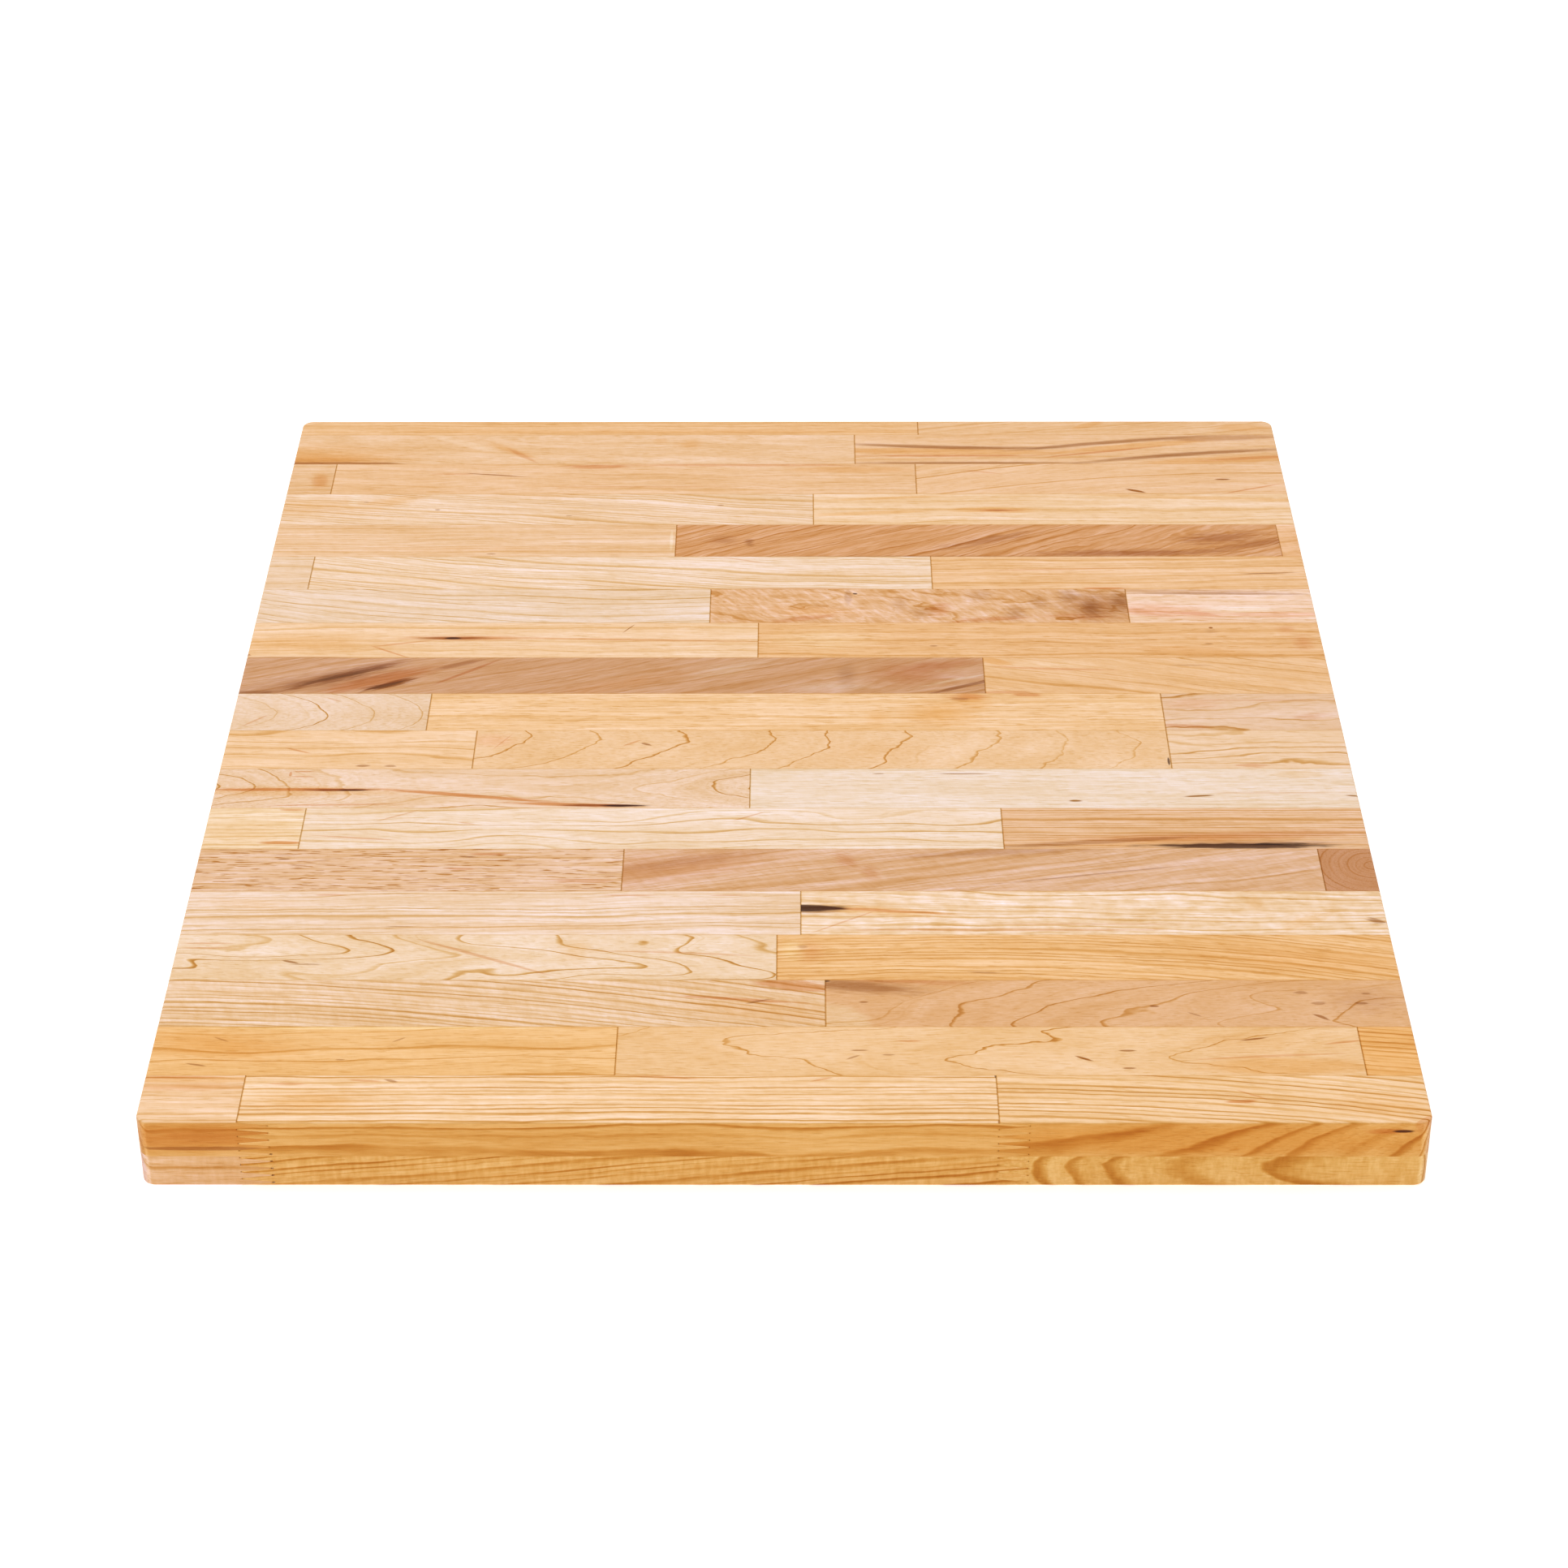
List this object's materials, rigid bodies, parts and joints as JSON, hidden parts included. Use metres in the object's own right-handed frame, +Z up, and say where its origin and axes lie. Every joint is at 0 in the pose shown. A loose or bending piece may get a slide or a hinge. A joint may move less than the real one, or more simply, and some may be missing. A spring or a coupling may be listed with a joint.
{
  "type": "butcher block top",
  "caption": "Thick rectangular maple block top of edge-glued, finger-jointed staves with eased edges and rounded corners.",
  "frame": {"origin": "centre of the flat underside of the slab", "axes": "+X along the staves to the right, +Y across the staves to the back edge, +Z up"},
  "size_m": [0.6096, 0.7112, 0.0381],
  "materials": {
    "maple_sapwood": "oiled satin, pale cream sapwood",
    "maple_honey": "oiled satin, golden honey",
    "maple_heartwood": "oiled satin, tan to brown heartwood"
  },
  "bodies": {
    "root": {"stave_01_left": "maple_honey", "stave_01_right": "maple_honey", "stave_02_left": "maple_sapwood", "stave_02_right": "maple_heartwood", "stave_03_left": "maple_honey", "stave_03_middle": "maple_honey", "stave_03_right": "maple_honey", "stave_04_left": "maple_sapwood", "stave_04_right": "maple_sapwood", "stave_05_left": "maple_honey", "stave_05_middle": "maple_heartwood", "stave_05_right": "maple_honey", "stave_06_left": "maple_honey", "stave_06_middle": "maple_sapwood", "stave_06_right": "maple_honey", "stave_07_left": "maple_sapwood", "stave_07_middle": "maple_heartwood", "stave_07_right": "maple_heartwood", "stave_08_left": "maple_honey", "stave_08_right": "maple_honey", "stave_09_left": "maple_heartwood", "stave_09_right": "maple_honey", "stave_10_left": "maple_sapwood", "stave_10_middle": "maple_honey", "stave_10_right": "maple_sapwood", "stave_11_left": "maple_honey", "stave_11_middle": "maple_honey", "stave_11_right": "maple_sapwood", "stave_12_left": "maple_sapwood", "stave_12_right": "maple_sapwood", "stave_13_left": "maple_honey", "stave_13_middle": "maple_sapwood", "stave_13_right": "maple_heartwood", "stave_14_left": "maple_heartwood", "stave_14_middle": "maple_heartwood", "stave_14_right": "maple_heartwood", "stave_15_left": "maple_sapwood", "stave_15_right": "maple_honey", "stave_16_left": "maple_sapwood", "stave_16_right": "maple_honey", "stave_17_left": "maple_sapwood", "stave_17_right": "maple_heartwood", "stave_18_left": "maple_honey", "stave_18_middle": "maple_honey", "stave_18_right": "maple_honey", "stave_19_left": "maple_sapwood", "stave_19_middle": "maple_sapwood", "stave_19_right": "maple_sapwood"}
  },
  "joints": []
}
